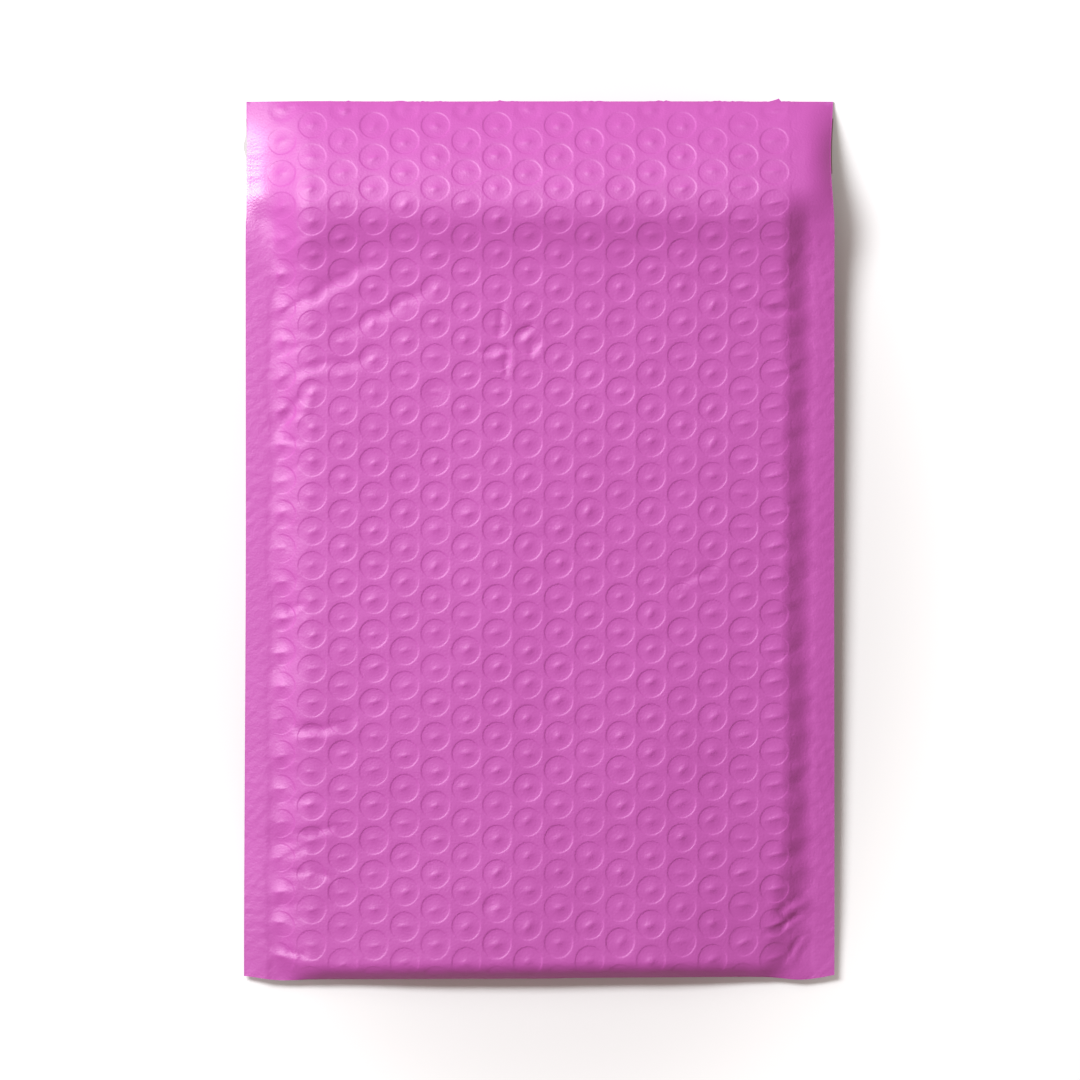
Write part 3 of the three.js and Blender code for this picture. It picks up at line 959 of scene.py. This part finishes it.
def mottleGroup():
    # slow mottle and fine grain of blown film, both from noise on the piece's own coordinates
    group = bpy.data.node_groups.new("filmMottle", "ShaderNodeTree")
    for name in noiseDetail:
        group.interface.new_socket(name + " Size", in_out="INPUT", socket_type="NodeSocketFloat")
        group.interface.new_socket(name, in_out="OUTPUT", socket_type="NodeSocketFloat")
    source, result = group.nodes.new("NodeGroupInput"), group.nodes.new("NodeGroupOutput")
    place = addNode(group, "TexCoord")
    for name, detail in noiseDetail.items():
        size = addNode(group, "Math", {0: 1.0}, operation="DIVIDE")
        noise = addNode(group, "TexNoise", {"Detail": detail})
        link(
            group,
            (source, name + " Size", size, 1),
            (size, 0, noise, "Scale"),
            (place, "Object", noise, "Vector"),
            (noise, "Fac", result, name),
        )
    return group


def plasticMaterial(name, group, look):
    # two close colours mixed by the mottle, roughness swung by it less a share where the film is taut, and a
    # bump from the grain
    values = {"IOR": look["ior"], "Specular IOR Level": look["specular"]}
    material, tree, shader = newMaterial(name, values)
    sizes = {"Mottle Size": look["mottleSize"], "Grain Size": look["grainSize"]}
    mottle = addNode(tree, "Group", sizes, node_tree=group)
    ramp = addNode(tree, "ValToRGB")
    for stop, place, colour in zip(ramp.color_ramp.elements, mottleStops, look["colours"]):
        stop.position = place
        stop.color = (*colour, 1)
    smoothest, roughest = look["roughness"]
    rough = addNode(tree, "MapRange", {"To Min": smoothest, "To Max": roughest})
    taut = addNode(tree, "Attribute", attribute_name="taut")
    smooth = addNode(tree, "Math", {1: -look["tautSmooth"]}, operation="MULTIPLY_ADD")
    bump = addNode(tree, "Bump", {"Strength": look["grainStrength"], "Distance": look["grainDepth"]})
    link(
        tree,
        (mottle, "Mottle", ramp, "Fac"),
        (mottle, "Mottle", rough, "Value"),
        (mottle, "Grain", bump, "Height"),
        (ramp, "Color", shader, "Base Color"),
        (taut, "Fac", smooth, 0),
        (rough, "Result", smooth, 2),
        (smooth, 0, shader, "Roughness"),
        (bump, "Normal", shader, "Normal"),
    )
    return material


filmLook = dict(
    colours=((0.652, 0.107, 0.528), (0.672, 0.113, 0.548)), roughness=(0.49, 0.56), ior=1.5, specular=0.95,
    tautSmooth=0.19, mottleSize=0.012, grainSize=0.0007, grainStrength=1.0, grainDepth=0.00008,
)
liningLook = dict(
    colours=((0.66, 0.36, 0.58), (0.72, 0.43, 0.64)), roughness=(0.28, 0.42), ior=1.5, specular=0.5,
    tautSmooth=0.0, mottleSize=0.01, grainSize=0.0008, grainStrength=0.2, grainDepth=0.00005,
)
adhesiveLook = dict(
    colours=((0.74, 0.66, 0.46), (0.80, 0.73, 0.54)), roughness=(0.12, 0.28), ior=1.47, specular=0.5,
    tautSmooth=0.0, mottleSize=0.004, grainSize=0.0015, grainStrength=0.4, grainDepth=0.0001,
)
peelLook = dict(
    colours=((0.66, 0.68, 0.64), (0.74, 0.76, 0.72)), roughness=(0.35, 0.5), ior=1.45, specular=0.5,
    tautSmooth=0.0, mottleSize=0.015, grainSize=0.0004, grainStrength=0.15, grainDepth=0.00004,
)

group = mottleGroup()
envelope = envelopeMesh(
    plasticMaterial("orchidFilm", group, filmLook), plasticMaterial("bubbleLining", group, liningLook)
)
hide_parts("envelope")
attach(envelope, "root")
print("envelope:", len(envelope.data.polygons), "faces")

glue = stripMesh("adhesive_band", adhesive, plasticMaterial("straw", group, adhesiveLook))
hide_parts("adhesive_strip")
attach(glue, "root")
peel = stripMesh("peel_strip", peelStrip, plasticMaterial("releaseFilm", group, peelLook))
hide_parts("release_liner")
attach(peel, "root")
print("closing strips laid under the flap")

# photo table: white to the camera, in reflections and through clear things, while the light that it scatters
# back has the duller bounce colour; for the camera it also glows, more so away from the mailer
studio = dict(
    floor=6.0, floorColour=(0.97, 0.97, 0.97), floorRoughness=0.9, glowShape=(1.5, 1.0, 1.0),
    glowReach=(0.14, 0.22), floorGlow=(0.085, 0.3), bounce=(0.5, 0.37, 0.33), ambient=(0.19, 0.138, 0.114),
)


def floorMaterial():
    # colour picked by the kind of ray, and a glow that eases up with the distance from the middle
    values = {"Roughness": studio["floorRoughness"], "Specular IOR Level": 0.0}
    material, tree, shader = newMaterial("paleTable", {**values, "Emission Color": (1, 1, 1, 1)})
    path = addNode(tree, "LightPath")
    colours = {"A": (*studio["bounce"], 1), "B": (*studio["floorColour"], 1)}
    colour = addNode(tree, "Mix", colours, data_type="RGBA")
    seen = (path, "Is Camera Ray")
    for name in ("Is Glossy Ray", "Is Transmission Ray"):
        either = addNode(tree, "Math", operation="MAXIMUM")
        link(tree, (*seen, either, 0), (path, name, either, 1))
        seen = (either, 0)
    place = addNode(tree, "TexCoord")
    shape = addNode(tree, "VectorMath", {1: studio["glowShape"]}, operation="MULTIPLY")
    reach = addNode(tree, "VectorMath", operation="LENGTH")
    names = ("From Min", "From Max", "To Min", "To Max")
    rises = dict(zip(names, studio["glowReach"] + studio["floorGlow"]))
    rise = addNode(tree, "MapRange", rises, interpolation_type="SMOOTHSTEP")
    glow = addNode(tree, "Math", operation="MULTIPLY")
    link(
        tree,
        (*seen, colour, "Factor"),
        (colour, "Result", shader, "Base Color"),
        (place, "Object", shape, 0),
        (shape, "Vector", reach, 0),
        (reach, "Value", rise, "Value"),
        (path, "Is Camera Ray", glow, 0),
        (rise, "Result", glow, 1),
        (glow, 0, shader, "Emission Strength"),
    )
    return material


def floorPiece():
    # one square at height 0
    half = studio["floor"] / 2
    mesh = bpy.data.meshes.new("table")
    corners = [(-half, -half, 0), (half, -half, 0), (half, half, 0), (-half, half, 0)]
    mesh.from_pydata(corners, [], [(0, 1, 2, 3)])
    mesh.materials.append(floorMaterial())
    return addPiece("table", mesh)


floorPiece()

# surroundings: white to the camera, and the ambient colour to all other light
world = bpy.data.worlds.new("studio")
bpy.context.scene.world = world
world.use_nodes = True
worldPath = addNode(world.node_tree, "LightPath")
skyColours = {"A": (*studio["ambient"], 1), "B": (1, 1, 1, 1)}
sky = addNode(world.node_tree, "Mix", skyColours, data_type="RGBA")
background = world.node_tree.nodes["Background"]
link(world.node_tree, (worldPath, "Is Camera Ray", sky, "Factor"), (sky, "Result", background, "Color"))

# a soft lamp from the upper left, and a wide weak one further round to the top
keyLamp = dict(
    distance=1.9, direction=(-0.535, 0.41, 0.738), size=(1.1, 0.55), turn=-43.5, power=33.2,
    colour=(0.98, 1.0, 1.03),
)
fillLamp = dict(
    distance=1.9, direction=(-0.37, 0.62, 0.69), size=(1.04, 1.04), turn=0.0, power=5.6,
    colour=(0.98, 1.0, 1.03),
)


def lampPiece(name, lamp):
    # an oval lamp at its distance along its direction, faced to the middle and turned about that line
    light = bpy.data.lights.new(name, "AREA")
    light.shape = "ELLIPSE"
    light.size, light.size_y = lamp["size"]
    light.energy = lamp["power"]
    light.color = lamp["colour"]
    piece = addPiece(name, light)
    piece.location = lamp["distance"] * np.array(lamp["direction"]) / np.linalg.norm(lamp["direction"])
    turn = Quaternion((0, 0, 1), np.radians(lamp["turn"]))
    piece.rotation_euler = (piece.location.to_track_quat("Z", "Y") @ turn).to_euler()


lampPiece("softKey", keyLamp)
lampPiece("softFill", fillLamp)

# straight down from above, as far away as the lens needs for the frame's width
view = dict(lens=350.0, sensor=36.0, frameWidth=0.3303, height=0.008, shift=(0.0, -0.0003))
camera = bpy.data.cameras.new("overhead")
camera.lens = view["lens"]
camera.sensor_width = view["sensor"]
cameraPiece = addPiece("overhead", camera)
distance = view["frameWidth"] * view["lens"] / view["sensor"]
cameraPiece.location = (view["shift"][0], view["shift"][1], view["height"] + distance)
bpy.context.scene.camera = cameraPiece
bpy.context.scene.view_settings.view_transform = "Standard"
print("table, lamps and camera placed")
